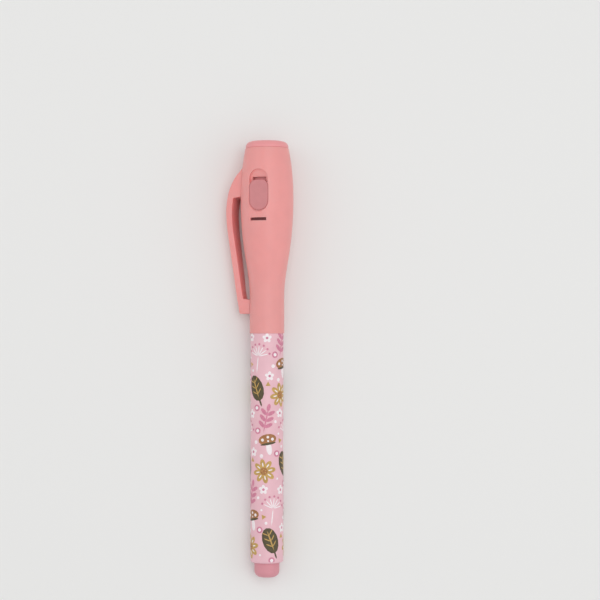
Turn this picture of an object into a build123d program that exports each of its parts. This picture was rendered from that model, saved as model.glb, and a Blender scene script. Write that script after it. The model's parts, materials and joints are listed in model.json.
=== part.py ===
from build123d import *
import math
import os

# Pen with a lamp in its cap. Sizes in millimetres, angles in degrees.
# The pen is drawn along Z from the tip of its end plug, with the clip towards -X and the button
# towards -Y. A station is a distance along Z. At the end everything is laid down on its side.

# Clearances
press_gap = 0.03
slide_gap = 0.15

# Barrel and end plug
barrel_length = 76.5
barrel_radius = 5.5
barrel_wall = 1.0
barrel_edge = 0.6
plug_reach = 5.0
plug_radius = 4.2
plug_round = 2.2
plug_shank = 7.0

# Ink core and writing end
spigot_length = 14.0
spigot_wall = 0.75
film_wall = 0.2
seat_length = 11.0
bead_height = 0.12
bead_back = 4.0
cone_length = 13.0
cone_tip_radius = 1.7
nib_radius = 1.1
nib_reach = 4.5
nib_round = 0.6
nib_depth = 7.0

# Cap shell
cap_overhang = 0.28
cap_wall = 0.78
cap_web = 0.8
cap_mouth_round = 0.3
cap_neck_length = 12.0
cap_flank_radius = 7.5
cap_flank_back = 35.4
cap_belly_radius = 8.9
cap_belly_back = 16.7
cap_end_radius = 7.3
cap_end_wall = 0.95
seam_chamfer = 0.12
inner_cap_wall = 0.8
inner_cap_seal = 0.3
nib_room = 2.7
cone_room = 0.5

# Cells, lamp and lens
cell_count = 3
cell_radius = 3.95
cell_height = 3.6
cell_pole_radius = 3.1
cell_pole_step = 0.3
cell_edge = 0.2
carrier_floor = 1.0
carrier_opening = 1.5
band_margin = 0.6
hook_reach = 1.0
metal_sheet = 0.25
contact_margin = 0.35
lead_length = 3.6
lead_size = 0.5
lead_spacing = 2.54
cathode_drop = 1.4
led_radius = 2.5
led_length = 5.1
led_flange_radius = 2.9
led_flange = 1.0
bulkhead = 2.6
led_to_lens = 3.3
reflector_wall = 0.6
reflector_rim = 0.8
lens_thickness = 1.6
lens_dome = 0.9
skirt_length = 4.0
skirt_wall = 0.55
bezel_reach = 2.3
bezel_flat = 0.4
bezel_step = 0.1
bezel_opening = 4.4
bezel_chamfer = 0.35

# Button and the openings round it
button_gap = 0.07
button_back = 16.15
button_length = 10.15
button_width = 6.6
button_corner = 2.3
button_sink = 0.25
button_edge = 0.2
button_lip = 0.8
button_plate = 0.6
button_travel = 0.7
nub_length = 1.6
rim_depth = 0.1
rim_slope = 38
notch_width = 4.8
notch_reach = 1.0
scoop_reach = 2.75
scoop_depth = 1.4
scoop_lip = 0.65
scoop_radius = 3.27
scoop_tail = 1.8
slit_below = 2.95
slit_width = 5.6
slit_height = 1.0
leaf_width = 2.4
leaf_foot = 2.0

# Pocket clip, radii from the pen's axis and distances back from the lamp end of the cap
clip_gap = 0.08
clip_thickness = 2.1
clip_root_width = 7.8
clip_foot_width = 3.6
clip_edge = 0.45
clip_wrap = 0.6
clip_crook = 1.0
clip_toe = 0.7
clip_root_back = 7.5
clip_root_radius = 8.25
clip_shoulder_back = 14.6
clip_shoulder_radius = 12.5
clip_crest_back = 20.5
clip_crest_radius = 13.5
clip_knee_back = 33.7
clip_knee_radius = 12.35
clip_shin_back = 47.7
clip_shin_radius = 10.45
clip_foot_back = 55.6
clip_foot_radius = 9.3
clip_gap_start_back = 16.4
clip_foot_height = 4.7

# Stations along the pen
mouth_at = plug_reach + barrel_length
plug_inner_at = plug_reach + plug_shank
seat_end = mouth_at + seat_length
cone_end = seat_end + cone_length
nib_tip = cone_end + nib_reach
web_at = nib_tip + nib_room + inner_cap_wall
lamp_floor = web_at + cap_web
stack_at = lamp_floor + carrier_floor + metal_sheet
stack_end = stack_at + cell_count * cell_height
contact_end = stack_end + metal_sheet
led_base = contact_end + lead_length
cathode_at = led_base - cathode_drop
bulkhead_at = led_base + led_flange
bulkhead_end = bulkhead_at + bulkhead
led_shoulder = bulkhead_at + led_length
lens_back = led_shoulder + led_radius + led_to_lens
cap_end = lens_back + lens_thickness
bezel_end = cap_end + bezel_reach
neck_end = mouth_at + cap_neck_length
belly_at = cap_end - cap_belly_back
button_at = cap_end - button_back
window_end = button_at + button_length / 2 + notch_reach
slit_at = button_at - button_length / 2 - slit_below
band_end = slit_at + slit_height / 2 + band_margin

# Radii that follow from the fits
barrel_bore = barrel_radius - barrel_wall
spigot_radius = barrel_bore - press_gap
spigot_bore = spigot_radius - spigot_wall
film_radius = spigot_bore - slide_gap
core_radius = film_radius - film_wall - press_gap
cap_neck_radius = barrel_radius + cap_overhang
cap_bore = cap_neck_radius - cap_wall
seat_radius = cap_bore - slide_gap - bead_height
cup_radius = cap_bore - press_gap
cup_bore = cup_radius - inner_cap_wall
cone_base_radius = cup_bore - cone_room
lamp_bore = cap_end_radius - cap_end_wall
carrier_radius = lamp_bore - slide_gap
cell_bore = cell_radius + press_gap
skirt_radius = lamp_bore - press_gap
skirt_bore = skirt_radius - skirt_wall
lens_radius = skirt_bore - press_gap
bezel_radius = cap_end_radius - bezel_step

# Heights of the switch pieces, outwards from the pen's axis towards the button
rim_side = button_width / 2 + button_gap
button_face = math.sqrt(cap_belly_radius ** 2 - rim_side ** 2) - button_sink
plate_outer = lamp_bore - slide_gap
plate_inner = plate_outer - button_plate
leaf_top = math.sqrt(plate_inner ** 2 - (leaf_width / 2) ** 2) - button_plate
leaf_under = leaf_top - metal_sheet
nub_end = leaf_top + slide_gap / 2
cathode_tip = leaf_under - button_travel + slide_gap / 2

button_plane = Plane(origin=(0, 0, 0), x_dir=(1, 0, 0), z_dir=(0, -1, 0))
clip_plane = Plane(origin=(0, 0, 0), x_dir=(-1, 0, 0), z_dir=(0, 1, 0))


# Basic shapes
def rod(radius, start, end):
    shape = Cylinder(radius, end - start, align=(Align.CENTER, Align.CENTER, Align.MIN))
    return Pos(0, 0, start) * shape


def tube(outer, inner, start, end):
    return rod(outer, start, end) - rod(inner, start, end)


def turned(*points):
    return revolve(Plane.XZ * make_face(Polyline(*points, close=True)), Axis.Z)


def block(width, inner, outer, start, end):
    # A block across X, between two heights towards the button and two stations.
    shape = Box(width, outer - inner, end - start, align=(Align.CENTER, Align.MAX, Align.MIN))
    return Pos(0, -inner, start) * shape


def circles(shape, station):
    # Round edges of a shape at a station, smallest first.
    rims = shape.edges().filter_by(GeomType.CIRCLE)
    level = rims.filter_by_position(Axis.Z, station - press_gap, station + press_gap)
    return level.sort_by(SortBy.RADIUS)


# Pen body
def make_barrel():
    body = tube(barrel_radius, barrel_bore, plug_reach, mouth_at)
    return fillet(circles(body, plug_reach)[-1], barrel_edge)


def make_end_plug():
    body = rod(plug_radius, 0, plug_reach) + rod(spigot_radius, plug_reach, plug_inner_at)
    return fillet(circles(body, 0)[-1], plug_round)


def make_ink_core():
    body = rod(core_radius, plug_inner_at, mouth_at)
    return body - rod(nib_radius + press_gap, mouth_at - nib_depth, mouth_at)


def make_film():
    return tube(film_radius, core_radius + press_gap, plug_inner_at, mouth_at)


def make_front_section():
    bead_at = mouth_at + bead_back
    body = turned(
        (0, mouth_at - spigot_length),
        (spigot_radius, mouth_at - spigot_length),
        (spigot_radius, mouth_at),
        (seat_radius, mouth_at),
        (seat_radius, bead_at),
        (seat_radius + bead_height, bead_at + 2 * bead_height),
        (seat_radius + bead_height, bead_at + 4 * bead_height),
        (seat_radius, bead_at + 6 * bead_height),
        (seat_radius, seat_end),
        (cone_base_radius, seat_end),
        (cone_tip_radius, cone_end),
        (0, cone_end),
    )
    body -= rod(spigot_bore, mouth_at - spigot_length, mouth_at)
    return body - rod(nib_radius + press_gap, mouth_at, cone_end)


def make_nib():
    body = rod(nib_radius, mouth_at - nib_depth, nib_tip)
    return fillet(circles(body, nib_tip)[-1], nib_round)


# Cap shell with the openings for the button
def cap_body(extra=0):
    mouth = (cap_neck_radius + extra, mouth_at)
    neck = (cap_neck_radius + extra, neck_end)
    flank = (cap_flank_radius + extra, cap_end - cap_flank_back)
    belly = (cap_belly_radius + extra, belly_at)
    end = (cap_end_radius + extra, cap_end)
    along = (0, 1)
    side = Curve() + [
        Line(mouth, neck),
        Spline(neck, flank, belly, tangents=(along, along)),
        TangentArc(belly, end, tangent=along),
        Polyline(end, (0, cap_end), (0, mouth_at), mouth),
    ]
    return revolve(Plane.XZ * make_face(side), Axis.Z)


def cap_height(station):
    # Radius of the cap between its belly and its lamp end.
    flare = (cap_belly_radius - cap_end_radius) / cap_belly_back ** 2
    return cap_belly_radius - flare * (station - belly_at) ** 2


def button_prism(grow, inner, outer, flare=0):
    # Round at the tail end, with two tighter corners at the lamp end.
    corner = button_corner + grow
    half = button_length / 2 + grow
    width = button_width + 2 * grow
    head = Pos(0, (half - corner) / 2) * RectangleRounded(width, half + corner, corner)
    outline = SlotOverall(2 * half, width, rotation=90) + head
    return extrude(button_plane.offset(inner) * (Pos(0, button_at) * outline), outer - inner, taper=-flare)


def make_window():
    # The hole round the button, its bevelled rim, and a notch at the lamp end.
    outside = cap_belly_radius + scoop_depth
    hole = button_prism(button_gap, 0, outside)
    rim = button_prism(button_gap, button_face - rim_depth, outside, rim_slope)
    return hole + rim + block(notch_width, 0, outside, button_at, window_end)


def make_scoop():
    # A thumb recess: a low arched wall, and a floor that falls towards the window and runs into it.
    near = cap_height(window_end) - scoop_depth
    rise = cap_height(window_end + scoop_reach) - scoop_lip - near
    length = math.hypot(rise, scoop_reach)
    slope = math.degrees(math.atan2(rise, scoop_reach))
    floor = Location((0, -near, window_end)) * Rotation(90 + slope, 0, 0)
    middle = length - scoop_radius
    sides = Pos(0, (middle - scoop_tail) / 2) * Rectangle(2 * scoop_radius, middle + scoop_tail)
    arch = Pos(0, middle) * Circle(scoop_radius) + sides
    return extrude(floor * arch, 2 * scoop_depth)


def make_cap_shell():
    body = fillet(circles(cap_body(), mouth_at)[-1], cap_mouth_round)
    body -= rod(cap_bore, mouth_at, web_at)
    body -= rod(lamp_bore, lamp_floor, cap_end)
    body = chamfer(circles(body, cap_end)[-1], seam_chamfer)
    slit = slit_height / 2
    body -= block(slit_width, 0, 2 * cap_belly_radius, slit_at - slit, slit_at + slit)
    return body - make_window() - make_scoop()


def make_inner_cap():
    rim = seat_end + inner_cap_seal
    return rod(cup_radius, rim, web_at) - rod(cup_bore, rim, web_at - inner_cap_wall)


# Lamp
def make_carrier():
    pocket = lamp_floor + carrier_floor
    body = rod(carrier_radius, lamp_floor, bulkhead_end)
    body -= rod(cell_bore, pocket, bulkhead_at)
    body -= rod(led_radius + press_gap, bulkhead_at, bulkhead_end)
    side = block(2 * carrier_radius, carrier_opening, carrier_radius, band_end, bulkhead_end)
    body -= side - rod(cell_radius, bulkhead_at, bulkhead_end)
    body -= block(leaf_width + 2 * slide_gap, 0, leaf_top + slide_gap, pocket, band_end)
    hook = slit_height / 2 - slide_gap
    hook_top = lamp_bore + hook_reach
    hook_width = slit_width - 2 * slide_gap
    return body + block(hook_width, leaf_top + slide_gap, hook_top, slit_at - hook, slit_at + hook)


def make_cell(index):
    start = stack_at + index * cell_height
    body = rod(cell_radius, start + cell_pole_step, start + cell_height)
    body = fillet(body.edges().filter_by(GeomType.CIRCLE), cell_edge)
    return body + rod(cell_pole_radius, start, start + cell_height / 2)


def make_cell_contact():
    return rod(cell_radius - contact_margin, stack_end, contact_end)


def make_switch_leaf():
    foot = block(leaf_width, -leaf_foot, leaf_top, stack_at - metal_sheet, stack_at)
    return foot + block(leaf_width, leaf_under, leaf_top, stack_at - metal_sheet, led_base)


def make_led():
    body = rod(led_flange_radius, led_base, bulkhead_at) + rod(led_radius, led_base, led_shoulder)
    return body + Pos(0, 0, led_shoulder) * Sphere(led_radius)


def make_anode_lead():
    lead = block(lead_size, -lead_size / 2, lead_size / 2, contact_end, led_base)
    return Pos(lead_spacing / 2, 0, 0) * lead


def make_cathode_lead():
    lead = block(lead_size, -lead_size / 2, lead_size / 2, cathode_at - lead_size / 2, led_base)
    lead += block(lead_size, 0, cathode_tip, cathode_at - lead_size / 2, cathode_at + lead_size / 2)
    return Pos(-lead_spacing / 2, 0, 0) * lead


def make_reflector():
    throat = led_radius + slide_gap
    rim = skirt_bore - slide_gap
    return turned(
        (throat, bulkhead_end),
        (throat + reflector_wall, bulkhead_end),
        (rim, lens_back - reflector_rim),
        (rim, lens_back),
        (rim - reflector_wall, lens_back),
    )


def make_lens():
    edge = bezel_opening - bezel_chamfer
    top = (0, cap_end + lens_dome)
    bulge = Curve() + [
        TangentArc(top, (edge, cap_end), tangent=(1, 0)),
        Polyline((edge, cap_end), (0, cap_end), top),
    ]
    dome = revolve(Plane.XZ * make_face(bulge), Axis.Z)
    return rod(lens_radius, lens_back, cap_end) + dome


def make_end_bezel():
    body = rod(bezel_radius, cap_end, bezel_end)
    body = fillet(circles(body, bezel_end)[-1], bezel_reach - bezel_flat)
    body = chamfer(circles(body, cap_end)[-1], seam_chamfer)
    body -= rod(bezel_opening, cap_end, bezel_end)
    body = chamfer(circles(body, bezel_end)[0], bezel_chamfer)
    return body + tube(skirt_radius, skirt_bore, cap_end - skirt_length, cap_end)


# Button, with the plate that keeps it in and the nub that bends the leaf
def make_push_button():
    key = button_prism(0, plate_inner, button_face)
    key = fillet(key.faces().sort_by(Axis.Y)[0].edges(), button_edge)
    ends = (button_at - button_length / 2 - button_lip, window_end + button_lip)
    plate = tube(plate_outer, plate_inner, *ends)
    plate &= block(button_width + 2 * button_lip, 0, plate_outer, *ends)
    crown = key - rod(plate_outer, *ends)
    stem = key & rod(plate_outer, *ends)
    nub = block(leaf_width, nub_end, plate_outer, cathode_at - nub_length / 2, cathode_at + nub_length / 2)
    nub &= rod(plate_outer, *ends)
    return crown + (stem - rod(plate_inner, *ends)) + plate + nub


# Pocket clip
def make_pocket_clip():
    foot_end = cap_end - clip_foot_back
    inside = cap_neck_radius - clip_wrap
    root = (clip_root_radius, cap_end - clip_root_back)
    shoulder = (clip_shoulder_radius, cap_end - clip_shoulder_back)
    crest = (clip_crest_radius, cap_end - clip_crest_back)
    knee = (clip_knee_radius, cap_end - clip_knee_back)
    shin = (clip_shin_radius, cap_end - clip_shin_back)
    foot = (clip_foot_radius, foot_end)
    outline = make_face(Curve() + [
        Spline(root, shoulder, crest, knee, shin, foot),
        Polyline(foot, (inside, foot_end), (inside, root[1]), root),
    ])
    outline = fillet(outline.vertices().sort_by(Axis.Y)[:2].sort_by(Axis.X)[-1], clip_toe)
    gap_start = cap_end - clip_gap_start_back
    gap_length = gap_start - foot_end - clip_foot_height
    gap = Pos(0, gap_start - gap_length / 2) * Rectangle(4 * clip_crest_radius, gap_length)
    gap &= Pos(-clip_thickness, 0) * outline
    gap = fillet(gap.vertices().sort_by(Axis.Y)[:2].sort_by(Axis.X)[-1], clip_crook)
    blade = extrude(clip_plane * (outline - gap), clip_root_width, both=True)
    plan = Polyline(
        (-clip_root_width / 2, root[1]),
        (clip_root_width / 2, root[1]),
        (clip_foot_width / 2, foot_end),
        (-clip_foot_width / 2, foot_end),
        close=True,
    )
    blade &= extrude(Plane.YZ * make_face(plan), 2 * clip_crest_radius, both=True)
    sides = blade.faces().sort_by(Axis.Y)
    long_edges = (sides[0].edges() + sides[-1].edges()).filter_by(GeomType.BSPLINE)
    blade = fillet(long_edges, clip_edge)
    return blade - cap_body(clip_gap)


nodes = {
    "barrel": make_barrel(),
    "end_plug": make_end_plug(),
    "ink_reservoir": make_ink_core(),
    "reservoir_film": make_film(),
    "front_section": make_front_section(),
    "nib": make_nib(),
    "cap_shell": make_cap_shell(),
    "inner_cap": make_inner_cap(),
    "battery_carrier": make_carrier(),
    "cell_contact": make_cell_contact(),
    "switch_leaf": make_switch_leaf(),
    "led": make_led(),
    "led_anode_lead": make_anode_lead(),
    "led_cathode_lead": make_cathode_lead(),
    "reflector": make_reflector(),
    "lens": make_lens(),
    "end_bezel": make_end_bezel(),
    "push_button": make_push_button(),
    "pocket_clip": make_pocket_clip(),
}
for index in range(cell_count):
    nodes[f"button_cell_{index + 1}"] = make_cell(index)

# At rest the pen lies on the cap's belly, the barrel's tail rim and the edge of the clip's crest.
tail_contact = plug_reach + barrel_edge
lean = math.degrees(math.asin((cap_belly_radius - barrel_radius) / (belly_at - tail_contact)))
crest_back = belly_at - (cap_end - clip_crest_back)
crest_height = cap_belly_radius - crest_back * math.tan(math.radians(lean))
crest_share = (clip_crest_back - clip_root_back) / (clip_foot_back - clip_root_back)
crest_width = clip_root_width + (clip_foot_width - clip_root_width) * crest_share
edge_across = crest_width / 2 - clip_edge
edge_out = clip_crest_radius - clip_edge
edge_reach = math.hypot(edge_across, edge_out)
edge_turn = math.asin((crest_height - clip_edge) / edge_reach)
roll = math.degrees(edge_turn - math.atan2(edge_across, edge_out))
lay_down = Rotation(lean - 90, 0, 0) * Rotation(0, 0, -roll)

laid = Compound(children=[lay_down * shape for shape in nodes.values()]).bounding_box()
rest = Pos(-laid.center().X, -laid.center().Y, -laid.min.Z) * lay_down

os.makedirs("parts", exist_ok=True)
for name, shape in nodes.items():
    export_step(rest * shape, f"parts/{name}.step")
print(f"lean {lean:.2f} deg, roll {roll:.2f} deg")
print(f"box {laid.size.X:.2f} x {laid.size.Y:.2f} x {laid.size.Z:.2f} mm")
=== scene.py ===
import bpy
import json
import math
from mathutils import Matrix, Vector


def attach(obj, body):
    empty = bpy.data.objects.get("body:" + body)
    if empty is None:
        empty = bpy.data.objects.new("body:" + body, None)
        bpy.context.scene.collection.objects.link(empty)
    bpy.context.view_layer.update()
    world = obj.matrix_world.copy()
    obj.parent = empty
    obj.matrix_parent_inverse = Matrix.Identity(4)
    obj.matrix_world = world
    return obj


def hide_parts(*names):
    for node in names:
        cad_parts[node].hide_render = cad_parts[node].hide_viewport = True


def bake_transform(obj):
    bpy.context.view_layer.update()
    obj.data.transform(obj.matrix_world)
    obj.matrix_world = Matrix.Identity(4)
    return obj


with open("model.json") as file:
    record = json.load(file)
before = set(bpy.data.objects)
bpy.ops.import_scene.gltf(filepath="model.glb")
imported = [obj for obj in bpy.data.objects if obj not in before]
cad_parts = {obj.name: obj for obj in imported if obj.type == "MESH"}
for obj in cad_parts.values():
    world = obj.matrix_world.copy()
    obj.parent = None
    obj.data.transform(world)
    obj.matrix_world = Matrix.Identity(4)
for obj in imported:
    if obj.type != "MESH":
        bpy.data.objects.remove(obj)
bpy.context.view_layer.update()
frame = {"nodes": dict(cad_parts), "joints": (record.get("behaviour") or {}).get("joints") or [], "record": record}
nodes = frame["nodes"]
scene = bpy.context.scene
mm = 0.001

# the pen's own axes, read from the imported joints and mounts
joints = {joint["name"]: joint for joint in frame["joints"]}
mounts = {mount["name"]: mount for mount in frame["record"]["mounts"]}
alongPen = Vector(joints["cap_pull"]["axis"])
intoPen = Vector(joints["button_press"]["axis"])
acrossPen = intoPen.cross(alongPen)
barrelMid = Vector(mounts["barrel_grip"]["pos_m"])


def reach(node, start):
    # first and last station of a node along the pen, counted from a point
    stations = [(vert.co - start).dot(alongPen) for vert in nodes[node].data.vertices]
    return min(stations), max(stations)


tailTip = barrelMid + alongPen * reach("end_plug", barrelMid)[0]
penLength = reach("end_bezel", tailTip)[1]
penMatrix = Matrix.Translation(tailTip) @ Matrix((acrossPen, intoPen, alongPen)).transposed().to_4x4()
print("pen length", round(penLength / mm, 2), "mm")


def onPen(station):
    return tailTip + alongPen * station


def editAll():
    bpy.ops.object.mode_set(mode="EDIT")
    bpy.ops.mesh.select_all(action="SELECT")


def endEdit():
    bpy.ops.object.mode_set(mode="OBJECT")


def applyPlace():
    bpy.ops.object.transform_apply(location=True, rotation=True, scale=True)


# camera at the photograph's angle
photo = {
    "size": 600,          # pixels each way
    "axisX": 267.0,       # the pen's middle line
    "topY": 141.5,
    "tailY": 576,
    "distance": 0.55,
    "sideways": 6.54,     # degrees towards the clip
    "tailwards": 2.75,    # degrees towards the tail
    "sensor": 36,
    "near": 0.01,
}


def makeCamera(s):
    pixel = penLength / (s["tailY"] - s["topY"])
    half = s["size"] / 2
    offX = (half - s["axisX"]) * pixel
    offY = ((s["topY"] + s["tailY"]) / 2 - half) * pixel
    sideways = math.radians(s["sideways"])
    tailwards = math.radians(s["tailwards"])
    back = Vector((-math.sin(sideways), -math.sin(tailwards), math.cos(sideways))).normalized()
    right = alongPen.cross(back).normalized()
    up = back.cross(right)
    aim = onPen(penLength / 2) + right * offX + up * offY
    turn = Matrix((right, up, back)).transposed().to_euler()
    bpy.ops.object.camera_add(location=aim + back * s["distance"], rotation=turn)
    camera = bpy.context.object
    camera.name = "photoCamera"
    camera.data.sensor_width = s["sensor"]
    camera.data.lens = s["sensor"] * s["distance"] / (s["size"] * pixel)
    camera.data.clip_start = s["near"]
    camera.data.dof.use_dof = False
    scene.camera = camera


makeCamera(photo)
scene.view_settings.view_transform = "Standard"

floorSet = {"size": 3.0, "colour": (0.86, 0.86, 0.85), "rough": 0.9}
roomSet = {"light": 0.64, "backdrop": (0.88, 0.88, 0.87)}
lampSet = [
    {"name": "topLamp", "at": (0.06, 0.14, 0.90), "size": 0.6, "power": 1.9},
    {"name": "leftLamp", "at": (-0.60, 0.15, 0.55), "size": 0.5, "power": 0.46},
    {"name": "rightLamp", "at": (0.60, -0.10, 0.50), "size": 0.5, "power": 0.46},
]


def makeFloor(s):
    bpy.ops.object.select_all(action="DESELECT")
    bpy.ops.mesh.primitive_plane_add(size=s["size"])
    floor = bpy.context.object
    floor.name = "floor"
    material = bpy.data.materials.new("paleFloor")
    material.use_nodes = True
    shader = material.node_tree.nodes["Principled BSDF"]
    shader.inputs["Base Color"].default_value = (*s["colour"], 1)
    shader.inputs["Roughness"].default_value = s["rough"]
    floor.data.materials.append(material)


def makeLamp(s):
    spot = Vector(s["at"])
    turn = (-spot).to_track_quat("-Z", "Y").to_euler()
    bpy.ops.object.light_add(type="AREA", location=spot, rotation=turn)
    lamp = bpy.context.object
    lamp.name = s["name"]
    lamp.data.size = s["size"]
    lamp.data.energy = s["power"]


def makeRoom(s):
    # even light from all round, and a backdrop for the camera, shiny faces and clear ones
    world = bpy.data.worlds.new("softRoom")
    world.use_nodes = True
    tree = world.node_tree
    light = tree.nodes["Background"]
    light.inputs["Color"].default_value = (1, 1, 1, 1)
    light.inputs["Strength"].default_value = s["light"]
    seen = tree.nodes.new("ShaderNodeBackground")
    seen.inputs["Color"].default_value = (*s["backdrop"], 1)
    rays = tree.nodes.new("ShaderNodeLightPath")
    direct = tree.nodes.new("ShaderNodeMath")
    direct.operation = "MAXIMUM"
    tree.links.new(rays.outputs["Is Camera Ray"], direct.inputs[0])
    tree.links.new(rays.outputs["Is Glossy Ray"], direct.inputs[1])
    either = tree.nodes.new("ShaderNodeMath")
    either.operation = "MAXIMUM"
    tree.links.new(direct.outputs["Value"], either.inputs[0])
    tree.links.new(rays.outputs["Is Transmission Ray"], either.inputs[1])
    choice = tree.nodes.new("ShaderNodeMixShader")
    tree.links.new(either.outputs["Value"], choice.inputs["Fac"])
    tree.links.new(light.outputs["Background"], choice.inputs[1])
    tree.links.new(seen.outputs["Background"], choice.inputs[2])
    tree.links.new(choice.outputs["Shader"], tree.nodes["World Output"].inputs["Surface"])
    scene.world = world


makeFloor(floorSet)
for lampPlan in lampSet:
    makeLamp(lampPlan)
makeRoom(roomSet)
print("camera, floor and lamps set")

# colours as seen, sizes in mm: cloud is the share by which a colour wanders, grain the depth of the texture
finishSet = {
    "cap_plastic": {"colour": (0.94, 0.615, 0.605), "cloud": 0.008, "cloudSize": 5, "rough": (0.36, 0.46),
                    "grain": 0.006, "grainSize": 0.3, "glow": 0.25},
    "bezel_plastic": {"colour": (0.93, 0.60, 0.61), "cloud": 0.008, "cloudSize": 4, "rough": (0.34, 0.44),
                      "grain": 0.005, "grainSize": 0.3},
    "button_plastic": {"colour": (0.82, 0.53, 0.54), "cloud": 0.012, "cloudSize": 2, "rough": (0.6, 0.75),
                       "grain": 0.015, "grainSize": 0.16},
    "barrel_film": {"colour": (0.925, 0.735, 0.775), "cloud": 0.012, "cloudSize": 3, "rough": (0.35, 0.45),
                    "grain": 0.004, "grainSize": 0.25},
    "plug_plastic": {"colour": (0.85, 0.57, 0.61), "cloud": 0.012, "cloudSize": 2, "rough": (0.42, 0.55),
                     "grain": 0.008, "grainSize": 0.2},
    "fibre": {"colour": (0.93, 0.92, 0.89), "cloud": 0.08, "cloudSize": 0.25, "rough": (0.8, 0.95),
              "grain": 0.06, "grainSize": 0.12, "stretch": (1, 0.05, 1)},
    "clear_film": {"colour": (0.93, 0.95, 0.97), "cloud": 0.02, "cloudSize": 3, "rough": (0.06, 0.14),
                   "grain": 0.003, "grainSize": 0.6, "alpha": 0.5},
    "inner_plastic": {"colour": (0.92, 0.92, 0.90), "cloud": 0.02, "cloudSize": 3, "rough": (0.45, 0.55),
                      "grain": 0.006, "grainSize": 0.25},
    # dusky pink carrier: painted shade, darker than the pink plastic, so the deep slot in the cap reads as shaded
    # pink
    "carrier_plastic": {"colour": (0.45, 0.24, 0.25), "cloud": 0.05, "cloudSize": 1.5, "rough": (0.5, 0.65),
                        "grain": 0.01, "grainSize": 0.2},
    "cell_steel": {"colour": (0.78, 0.78, 0.77), "cloud": 0.05, "cloudSize": 0.5, "rough": (0.2, 0.34),
                   "grain": 0.003, "grainSize": 0.08, "stretch": (1, 0.1, 1), "metal": 1},
    "contact_metal": {"colour": (0.80, 0.66, 0.38), "cloud": 0.08, "cloudSize": 0.6, "rough": (0.22, 0.38),
                      "grain": 0.003, "grainSize": 0.08, "stretch": (1, 0.08, 1), "metal": 1},
    "lead_metal": {"colour": (0.80, 0.80, 0.80), "cloud": 0.06, "cloudSize": 0.4, "rough": (0.25, 0.4),
                   "grain": 0.004, "grainSize": 0.1, "metal": 1},
    "led_epoxy": {"colour": (0.93, 0.92, 0.98), "cloud": 0.02, "cloudSize": 2, "rough": (0.03, 0.08),
                  "grain": 0.001, "grainSize": 0.5, "alpha": 0.85},
    "reflector_metal": {"colour": (0.95, 0.95, 0.96), "cloud": 0.02, "cloudSize": 2, "rough": (0.26, 0.38),
                        "grain": 0.002, "grainSize": 0.4, "metal": 1},
    "lens_plastic": {"colour": (0.96, 0.96, 0.99), "cloud": 0.015, "cloudSize": 3, "rough": (0.02, 0.06),
                     "grain": 0.001, "grainSize": 0.6, "alpha": 0.12},
}
noiseSet = {"low": 0.3, "high": 0.7, "cloudDetail": 3, "grainDetail": 2}  # low to high is the span in use
glowDepth = (2.5, 1.2, 1.0)  # mm that red, green and blue light go into glowing plastic
screenGamma = 2.2


def asLight(colour, factor):
    return (*[min(1, c * factor) ** screenGamma for c in colour], 1)


def addNoise(tree, vector, size, detail):
    noise = tree.nodes.new("ShaderNodeTexNoise")
    noise.inputs["Scale"].default_value = 1 / (size * mm)
    noise.inputs["Detail"].default_value = detail
    tree.links.new(vector, noise.inputs["Vector"])
    return noise.outputs["Fac"]


def makeFinish(name, s):
    material = bpy.data.materials.new(name)
    material.use_nodes = True
    tree = material.node_tree
    shader = tree.nodes["Principled BSDF"]
    shader.inputs["Metallic"].default_value = s.get("metal", 0)
    shader.inputs["Alpha"].default_value = s.get("alpha", 1)
    shader.inputs["Subsurface Weight"].default_value = s.get("glow", 0)
    shader.inputs["Subsurface Scale"].default_value = mm
    shader.inputs["Subsurface Radius"].default_value = glowDepth

    place = tree.nodes.new("ShaderNodeTexCoord")
    spread = tree.nodes.new("ShaderNodeMapping")
    spread.inputs["Scale"].default_value = s.get("stretch", (1, 1, 1))
    tree.links.new(place.outputs["Object"], spread.inputs["Vector"])
    vector = spread.outputs["Vector"]

    # slow clouds of colour
    cloud = addNoise(tree, vector, s["cloudSize"], noiseSet["cloudDetail"])
    shades = tree.nodes.new("ShaderNodeValToRGB")
    dark, pale = shades.color_ramp.elements
    dark.position = noiseSet["low"]
    pale.position = noiseSet["high"]
    dark.color = asLight(s["colour"], 1 - s["cloud"])
    pale.color = asLight(s["colour"], 1 + s["cloud"])
    tree.links.new(cloud, shades.inputs["Fac"])
    tree.links.new(shades.outputs["Color"], shader.inputs["Base Color"])

    # fine grain in the gloss and the surface
    grain = addNoise(tree, vector, s["grainSize"], noiseSet["grainDetail"])
    gloss = tree.nodes.new("ShaderNodeMapRange")
    gloss.inputs["From Min"].default_value = noiseSet["low"]
    gloss.inputs["From Max"].default_value = noiseSet["high"]
    gloss.inputs["To Min"].default_value = s["rough"][0]
    gloss.inputs["To Max"].default_value = s["rough"][1]
    tree.links.new(grain, gloss.inputs["Value"])
    tree.links.new(gloss.outputs["Result"], shader.inputs["Roughness"])
    bump = tree.nodes.new("ShaderNodeBump")
    bump.inputs["Distance"].default_value = s["grain"] * mm
    tree.links.new(grain, bump.inputs["Height"])
    tree.links.new(bump.outputs["Normal"], shader.inputs["Normal"])
    return material


finishes = {name: makeFinish(name, s) for name, s in finishSet.items()}
for part in frame["record"]["subparts"]:
    skin = nodes[part["node"]].data.materials
    skin.clear()
    skin.append(finishes[part["material_slot"]])
print("finishes put on", len(nodes), "nodes")

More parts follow.
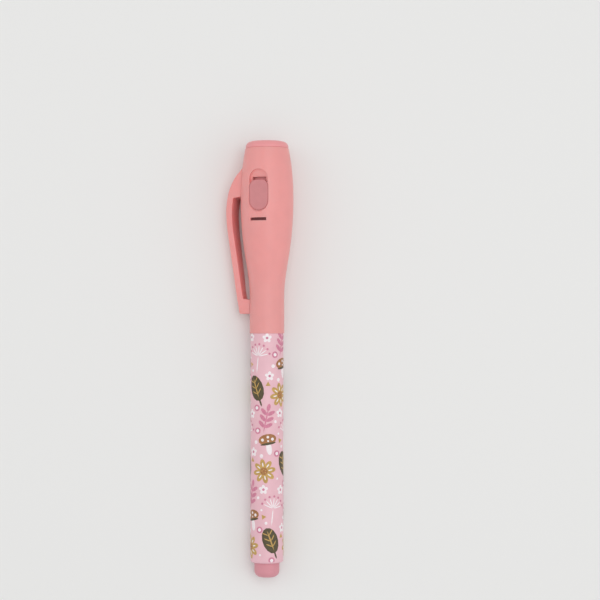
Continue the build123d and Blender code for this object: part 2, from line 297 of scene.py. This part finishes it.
# the clip as one with the cap: cross-sections felt from the CAD clip, drawn out from the root to the toe
clipSet = {
    "steps": 120,        # cross-sections from the root to the toe
    "joined": 0.2,       # mm from the cap within which a section is joined to it
    "sink": 0.4,         # mm that a joined section goes into the cap
    "tuck": 1.4,         # mm that the root runs on under the cap's skin
    "edge": 0.45,        # mm, rounding of the long edges
    "edgeSteps": 3,
    "edgeAngle": 50,     # degrees, the bend from which an edge is rounded
    "room": 0.05,        # mm between the toe and the neck of the cap
    "hollow": 20,        # mm, length of the round tool that hollows the toe
    "hollowSides": 96,
    "merge": 0.002,      # mm, points nearer than this become one
    "smooth": 35,        # degrees
    "stiff": 2.5,        # mm from the root to where the bend begins
    "limber": 18,        # mm from the root to where the clip moves as one
}
farOut = 30 * mm         # start of the feeler rays, outside the pen


def feel(node, start, direction):
    hit, spot, _, _ = nodes[node].ray_cast(penMatrix @ Vector(start), penMatrix.to_3x3() @ Vector(direction))
    return penMatrix.inverted() @ spot if hit else Vector()


def clipSection(station):
    # outer and inner are distances from the pen's middle line
    outer = -feel("pocket_clip", (-farOut, 0, station), (1, 0, 0)).x
    inner = -feel("pocket_clip", (0, 0, station), (-1, 0, 0)).x
    half = -feel("pocket_clip", (-(outer + inner) / 2, -farOut, station), (0, 1, 0)).y
    cap = -feel("cap_shell", (-farOut, 0, station), (1, 0, 0)).x
    if inner < cap + clipSet["joined"] * mm:
        inner = math.sqrt(max(cap ** 2 - half ** 2, 0)) - clipSet["sink"] * mm
    return {"at": station, "outer": outer, "inner": inner, "width": 2 * half}


def clipSections(toe, root):
    step = (root - toe) / clipSet["steps"]
    sections = [clipSection(root - step * (i + 0.5)) for i in range(clipSet["steps"])]
    sections = [section for section in sections if section["outer"] > 0 and section["width"] > 0]

    # the root runs on under the cap's skin, at the slope that it has there
    first = sections[0]
    slope = (sections[2]["outer"] - first["outer"]) / (2 * step)
    under = clipSet["tuck"] * mm
    tucked = {"at": first["at"] + under, "outer": first["outer"] - slope * under,
              "inner": first["inner"] - slope * under, "width": first["width"]}
    return [tucked, *sections, {**sections[-1], "at": toe}]


def middleOf(section):
    return -(section["outer"] + section["inner"]) / 2, 0, section["at"]


def depthOf(section):
    return section["outer"] - section["inner"]


def makeClip():
    s = clipSet
    toe, root = reach("pocket_clip", tailTip)
    sections = clipSections(toe, root)
    bpy.ops.object.select_all(action="DESELECT")
    bpy.ops.mesh.primitive_plane_add(size=1, location=middleOf(sections[0]))
    clip = bpy.context.object
    clip.name = "springClip"
    bpy.ops.transform.resize(value=(depthOf(sections[0]), sections[0]["width"], 1))
    applyPlace()
    editAll()
    for before, now in zip(sections, sections[1:]):
        move = [to - start for to, start in zip(middleOf(now), middleOf(before))]
        bpy.ops.mesh.extrude_region_move(TRANSFORM_OT_translate={"value": move})
        grow = (depthOf(now) / depthOf(before), now["width"] / before["width"], 1)
        bpy.ops.transform.resize(value=grow, center_override=middleOf(now))
    bpy.ops.mesh.select_all(action="SELECT")
    bpy.ops.mesh.normals_make_consistent(inside=False)
    endEdit()
    rounding = clip.modifiers.new("rounding", "BEVEL")
    rounding.width = s["edge"] * mm
    rounding.segments = s["edgeSteps"]
    rounding.limit_method = "ANGLE"
    rounding.angle_limit = math.radians(s["edgeAngle"])
    bpy.ops.object.modifier_apply(modifier="rounding")

    # the toe is hollowed to the neck of the cap
    neck = -feel("cap_shell", (-farOut, 0, toe), (1, 0, 0)).x + s["room"] * mm
    bpy.ops.mesh.primitive_cylinder_add(vertices=s["hollowSides"], radius=neck, depth=s["hollow"] * mm,
                                        location=(0, 0, toe))
    hollow = bpy.context.object
    cut = clip.modifiers.new("hollow", "BOOLEAN")
    cut.object = hollow
    cut.solver = "EXACT"
    bpy.context.view_layer.objects.active = clip
    bpy.ops.object.modifier_apply(modifier="hollow")
    bpy.data.objects.remove(hollow)
    bpy.ops.object.select_all(action="DESELECT")
    clip.select_set(True)
    editAll()
    bpy.ops.mesh.remove_doubles(threshold=s["merge"] * mm)
    endEdit()
    bpy.ops.object.shade_smooth_by_angle(angle=math.radians(s["smooth"]))
    clip.matrix_world = penMatrix
    applyPlace()
    clip.data.materials.append(finishes["cap_plastic"])
    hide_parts("pocket_clip")
    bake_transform(clip)
    print("spring clip made,", len(sections), "sections,", len(clip.data.polygons), "faces")


makeClip()

# the switch leaf, cut into short steps along the pen
leafSet = {
    "cuts": 14,          # steps into which the leaf is cut along its length
    "held": 0.2,         # share of its length that the carrier holds
    "pressed": 0.92,     # share of its length that reaches the button's nub
    "merge": 0.001,      # mm, points nearer than this become one
    "smooth": 30,        # degrees
}


def makeSwitchLeaf():
    s = leafSet
    bpy.ops.object.select_all(action="DESELECT")
    leaf = bpy.data.objects.new("bendingLeaf", nodes["switch_leaf"].data.copy())
    scene.collection.objects.link(leaf)
    leaf.select_set(True)
    bpy.context.view_layer.objects.active = leaf
    foot, tip = reach("switch_leaf", tailTip)

    def along(share):
        return onPen(foot + (tip - foot) * share)

    editAll()
    bpy.ops.mesh.remove_doubles(threshold=s["merge"] * mm)
    for i in range(1, s["cuts"]):
        bpy.ops.mesh.select_all(action="SELECT")
        bpy.ops.mesh.bisect(plane_co=along(i / s["cuts"]), plane_no=alongPen)
    endEdit()
    bpy.ops.object.shade_smooth_by_angle(angle=math.radians(s["smooth"]))
    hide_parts("switch_leaf")
    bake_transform(leaf)
    print("switch leaf made,", len(leaf.data.polygons), "faces")


makeSwitchLeaf()

# a print of small plants on the barrel, laid out flat and wrapped round
inkSet = {
    "oliveInk": {"colour": (0.31, 0.27, 0.17), "cloud": 0.10},
    "goldInk": {"colour": (0.76, 0.61, 0.34), "cloud": 0.08},
    "brownInk": {"colour": (0.64, 0.43, 0.26), "cloud": 0.08},
    "whiteInk": {"colour": (0.97, 0.93, 0.94), "cloud": 0.02},
    "roseInk": {"colour": (0.82, 0.50, 0.60), "cloud": 0.06},
}
inkFinish = {"cloudSize": 0.8, "rough": (0.38, 0.5), "grain": 0.004, "grainSize": 0.15}
printSet = {
    "film": 0.02,        # mm, film on the barrel that the ink lies on
    "ink": 0.012,        # mm, height of one layer of ink
    "across": 2,         # repeats round the barrel
    "along": 3,          # repeats from the tail to the mouth
    "shift": 0.35,       # share of a repeat by which each next row is moved round
    "strip": 0.6,        # mm, widest flat face of the wrapped print
    "turn": 62,          # degrees by which the print is turned round the barrel
    "size": 1.3,         # mm, the unit in which motifs are drawn
    # places in shares of one repeat, turns in degrees
    "leaves": [(0.20, 0.28, 20)],
    "daisies": [(0.72, 0.19, 10)],
    "seedHeads": [(0.25, 0.70, -6)],
    "toadstools": [(0.80, 0.56, 10)],
    "sprigs": [(0.76, 0.86, -12)],
    "blossoms": [(0.48, 0.44, 0), (0.06, 0.95, 0), (0.43, 0.94, 0)],
    "rings": [(0.98, 0.42, 0), (0.59, 0.72, 0), (0.22, 0.02, 0)],
    "smallDots": [(0.99, 0.09, 0), (0.02, 0.68, 0)],
    "middleDots": [(0.11, 0.51, 0), (0.95, 0.84, 0)],
    "largeDots": [(0.67, 0.39, 0), (0.55, 0.57, 0)],
    "triangles": [(0.45, 0.33, 0), (0.06, 0.59, 37)],
}
unit = printSet["size"] * mm


def addPlate(sheet, plate, at, turn):
    # a plate of a motif is its ink, its layer, its width and height, and its number of corners
    ink, layer, size, corners = plate
    middle = (*at, layer * printSet["ink"] * mm)
    bpy.ops.mesh.primitive_circle_add(vertices=corners, radius=unit / 2, fill_type="NGON", location=middle)
    bpy.ops.transform.resize(value=(*size, 1), center_override=middle)
    bpy.ops.transform.rotate(value=-math.radians(turn), orient_axis="Z", center_override=middle)
    sheet.active_material_index = list(inkSet).index(ink)
    bpy.ops.object.material_slot_assign()


def swung(at, turn, right, up):
    # a point of a motif that is turned about its own middle
    turn = math.radians(turn)
    return (at[0] + (right * math.cos(turn) - up * math.sin(turn)) * unit,
            at[1] + (right * math.sin(turn) + up * math.cos(turn)) * unit)


leafMotif = {
    "blade": ("oliveInk", 1, (4.2, 6.8), 14),
    "stem": ("oliveInk", 1, (0.5, 2.2), 6),
    "stemUp": -3.9,
    "rib": ("goldInk", 2, (0.4, 5.4), 6),
    "vein": ("goldInk", 2, (0.3, 1.8), 6),
    "veinOut": 0.75,
    "veinUp": (-1.0, 0.5, 2.0),
    "veinLean": 48,      # degrees
}


def addLeaf(sheet, at, turn):
    s = leafMotif
    addPlate(sheet, s["blade"], at, turn)
    addPlate(sheet, s["stem"], swung(at, turn, 0, s["stemUp"]), turn)
    addPlate(sheet, s["rib"], at, turn)
    for up in s["veinUp"]:
        for side in (-1, 1):
            addPlate(sheet, s["vein"], swung(at, turn, side * s["veinOut"], up), turn - side * s["veinLean"])


daisyMotif = {
    "petal": ("goldInk", 1, (1.4, 2.5), 10),
    "petals": 8,
    "petalOut": 1.9,
    "streak": ("whiteInk", 2, (0.35, 1.2), 6),
    "streakOut": 1.7,
    "eye": ("brownInk", 3, (1.9, 1.9), 12),
    "seed": ("goldInk", 4, (0.35, 0.35), 6),
    "seeds": 5,
    "seedOut": 0.5,
}


def addDaisy(sheet, at, turn):
    s = daisyMotif
    for i in range(s["petals"]):
        swing = turn + 360 * i / s["petals"]
        addPlate(sheet, s["petal"], swung(at, swing, 0, s["petalOut"]), swing)
        addPlate(sheet, s["streak"], swung(at, swing, 0, s["streakOut"]), swing)
    addPlate(sheet, s["eye"], at, turn)
    for i in range(s["seeds"]):
        addPlate(sheet, s["seed"], swung(at, turn + 360 * i / s["seeds"], 0, s["seedOut"]), turn)


seedHeadMotif = {
    "stem": ("whiteInk", 1, (0.35, 4.4), 6),
    "stemUp": -2.2,
    "ray": ("whiteInk", 1, (0.3, 2.8), 6),
    "rayOut": 1.5,
    "seed": ("roseInk", 2, (0.6, 0.6), 8),
    "seedOut": 3.1,
    "leans": (-72, -48, -24, 0, 24, 48, 72),  # degrees
}


def addSeedHead(sheet, at, turn):
    s = seedHeadMotif
    addPlate(sheet, s["stem"], swung(at, turn, 0, s["stemUp"]), turn)
    for lean in s["leans"]:
        addPlate(sheet, s["ray"], swung(at, turn + lean, 0, s["rayOut"]), turn + lean)
        addPlate(sheet, s["seed"], swung(at, turn + lean, 0, s["seedOut"]), turn + lean)


sprigMotif = {
    "stem": ("roseInk", 1, (0.4, 6.6), 6),
    "leaf": ("roseInk", 1, (1.0, 2.3), 8),
    "leafOut": 0.95,
    "leafUp": (-1.2, 0.4, 2.0),
    "leafLean": 52,      # degrees
    "tip": ("roseInk", 1, (1.0, 2.0), 8),
    "tipUp": 3.3,
}


def addSprig(sheet, at, turn):
    s = sprigMotif
    addPlate(sheet, s["stem"], at, turn)
    for up in s["leafUp"]:
        for side in (-1, 1):
            addPlate(sheet, s["leaf"], swung(at, turn, side * s["leafOut"], up), turn - side * s["leafLean"])
    addPlate(sheet, s["tip"], swung(at, turn, 0, s["tipUp"]), turn)


toadstoolMotif = {
    "stalk": ("whiteInk", 1, (1.5, 3.2), 10),
    "stalkUp": -1.5,
    "cap": ("brownInk", 2, (4.8, 2.8), 14),
    "capUp": 0.9,
    "gills": ("oliveInk", 3, (4.2, 0.6), 10),
    "gillsUp": -0.2,
    "spots": [           # right, up, plate
        (-1.3, 1.0, ("whiteInk", 3, (0.8, 0.8), 8)),
        (0.2, 1.5, ("whiteInk", 3, (0.7, 0.7), 8)),
        (1.3, 0.8, ("whiteInk", 3, (0.8, 0.8), 8)),
        (0.1, 0.5, ("whiteInk", 3, (0.5, 0.5), 8)),
    ],
}


def addToadstool(sheet, at, turn):
    s = toadstoolMotif
    addPlate(sheet, s["stalk"], swung(at, turn, 0, s["stalkUp"]), turn)
    addPlate(sheet, s["cap"], swung(at, turn, 0, s["capUp"]), turn)
    addPlate(sheet, s["gills"], swung(at, turn, 0, s["gillsUp"]), turn)
    for right, up, plate in s["spots"]:
        addPlate(sheet, plate, swung(at, turn, right, up), turn)


blossomMotif = {
    "petal": ("whiteInk", 1, (0.9, 1.1), 8),
    "petals": 5,
    "petalOut": 0.7,
    "eye": ("roseInk", 2, (0.7, 0.7), 8),
}


def addBlossom(sheet, at, turn):
    s = blossomMotif
    for i in range(s["petals"]):
        swing = turn + 360 * i / s["petals"]
        addPlate(sheet, s["petal"], swung(at, swing, 0, s["petalOut"]), swing)
    addPlate(sheet, s["eye"], at, turn)


plainMotifs = {
    "rings": [("roseInk", 1, (1.7, 1.7), 12), ("whiteInk", 2, (0.9, 0.9), 10)],
    "smallDots": [("whiteInk", 1, (0.6, 0.6), 8)],
    "middleDots": [("whiteInk", 1, (0.8, 0.8), 8)],
    "largeDots": [("whiteInk", 1, (1.0, 1.0), 8)],
    "triangles": [("goldInk", 1, (1.5, 1.5), 3)],
}


def layPrint(repeat):
    # one repeat of the print, flat
    bpy.ops.object.select_all(action="DESELECT")
    bpy.ops.mesh.primitive_plane_add(size=mm)
    sheet = bpy.context.object
    sheet.name = "barrelPrint"
    for name, ink in inkSet.items():
        sheet.data.materials.append(makeFinish(name, {**inkFinish, **ink}))
    bpy.ops.object.mode_set(mode="EDIT")
    bpy.ops.mesh.delete(type="VERT")
    motifs = {"leaves": addLeaf, "daisies": addDaisy, "seedHeads": addSeedHead, "toadstools": addToadstool,
              "sprigs": addSprig, "blossoms": addBlossom}
    for kind, addMotif in motifs.items():
        for x, y, turn in printSet[kind]:
            addMotif(sheet, (x * repeat[0], y * repeat[1]), turn)
    for kind, plates in plainMotifs.items():
        for x, y, turn in printSet[kind]:
            for plate in plates:
                addPlate(sheet, plate, (x * repeat[0], y * repeat[1]), turn)
    endEdit()
    return sheet


def repeatPrint(sheet, repeat, length):
    # repeats round and along, trimmed at both ends of the barrel, then given a thickness
    s = printSet
    steps = {"across": (repeat[0], 0, 0), "along": (s["shift"] * repeat[0], repeat[1], 0)}
    for name, offset in steps.items():
        copies = sheet.modifiers.new(name, "ARRAY")
        copies.count = s[name]
        copies.use_relative_offset = False
        copies.use_constant_offset = True
        copies.constant_offset_displace = offset
        bpy.ops.object.modifier_apply(modifier=name)
    for end, facing in ((0, -1), (length, 1)):
        editAll()
        bpy.ops.mesh.bisect(plane_co=(0, end, 0), plane_no=(0, facing, 0), clear_outer=True)
    endEdit()
    body = sheet.modifiers.new("body", "SOLIDIFY")
    body.thickness = (s["ink"] + s["film"]) * mm
    body.offset = -1
    bpy.ops.object.modifier_apply(modifier="body")


def wrapPrint(sheet, radius, start):
    # cut into narrow strips that bend smoothly, stood up and bent round the barrel
    s = printSet
    left = min(vert.co.x for vert in sheet.data.vertices)
    right = max(vert.co.x for vert in sheet.data.vertices)
    cuts = math.ceil((right - left) / (s["strip"] * mm))
    for i in range(1, cuts):
        editAll()
        bpy.ops.mesh.bisect(plane_co=(left + (right - left) * i / cuts, 0, 0), plane_no=(1, 0, 0))
    endEdit()
    sheet.rotation_euler = (math.pi / 2, 0, 0)
    sheet.location = (-(left + right) / 2, 0, start)
    applyPlace()
    wrap = sheet.modifiers.new("wrap", "SIMPLE_DEFORM")
    wrap.deform_method = "BEND"
    wrap.deform_axis = "Z"
    wrap.angle = (right - left) / radius
    bpy.ops.object.modifier_apply(modifier="wrap")
    sheet.location = (0, -radius, 0)
    applyPlace()
    sheet.matrix_world = penMatrix @ Matrix.Rotation(math.radians(s["turn"]), 4, "Z")
    applyPlace()


def makePrint():
    s = printSet
    grip = mounts["barrel_grip"]["dims"]
    radius = (grip["r_mm"] + s["film"]) * mm
    length = grip["length_mm"] * mm
    repeat = (2 * math.pi * radius / s["across"], length / s["along"])
    sheet = layPrint(repeat)
    repeatPrint(sheet, repeat, length)
    wrapPrint(sheet, radius, reach("barrel", tailTip)[1] - length)
    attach(sheet, "pen_body")
    print("print wrapped,", len(sheet.data.polygons), "faces")


makePrint()
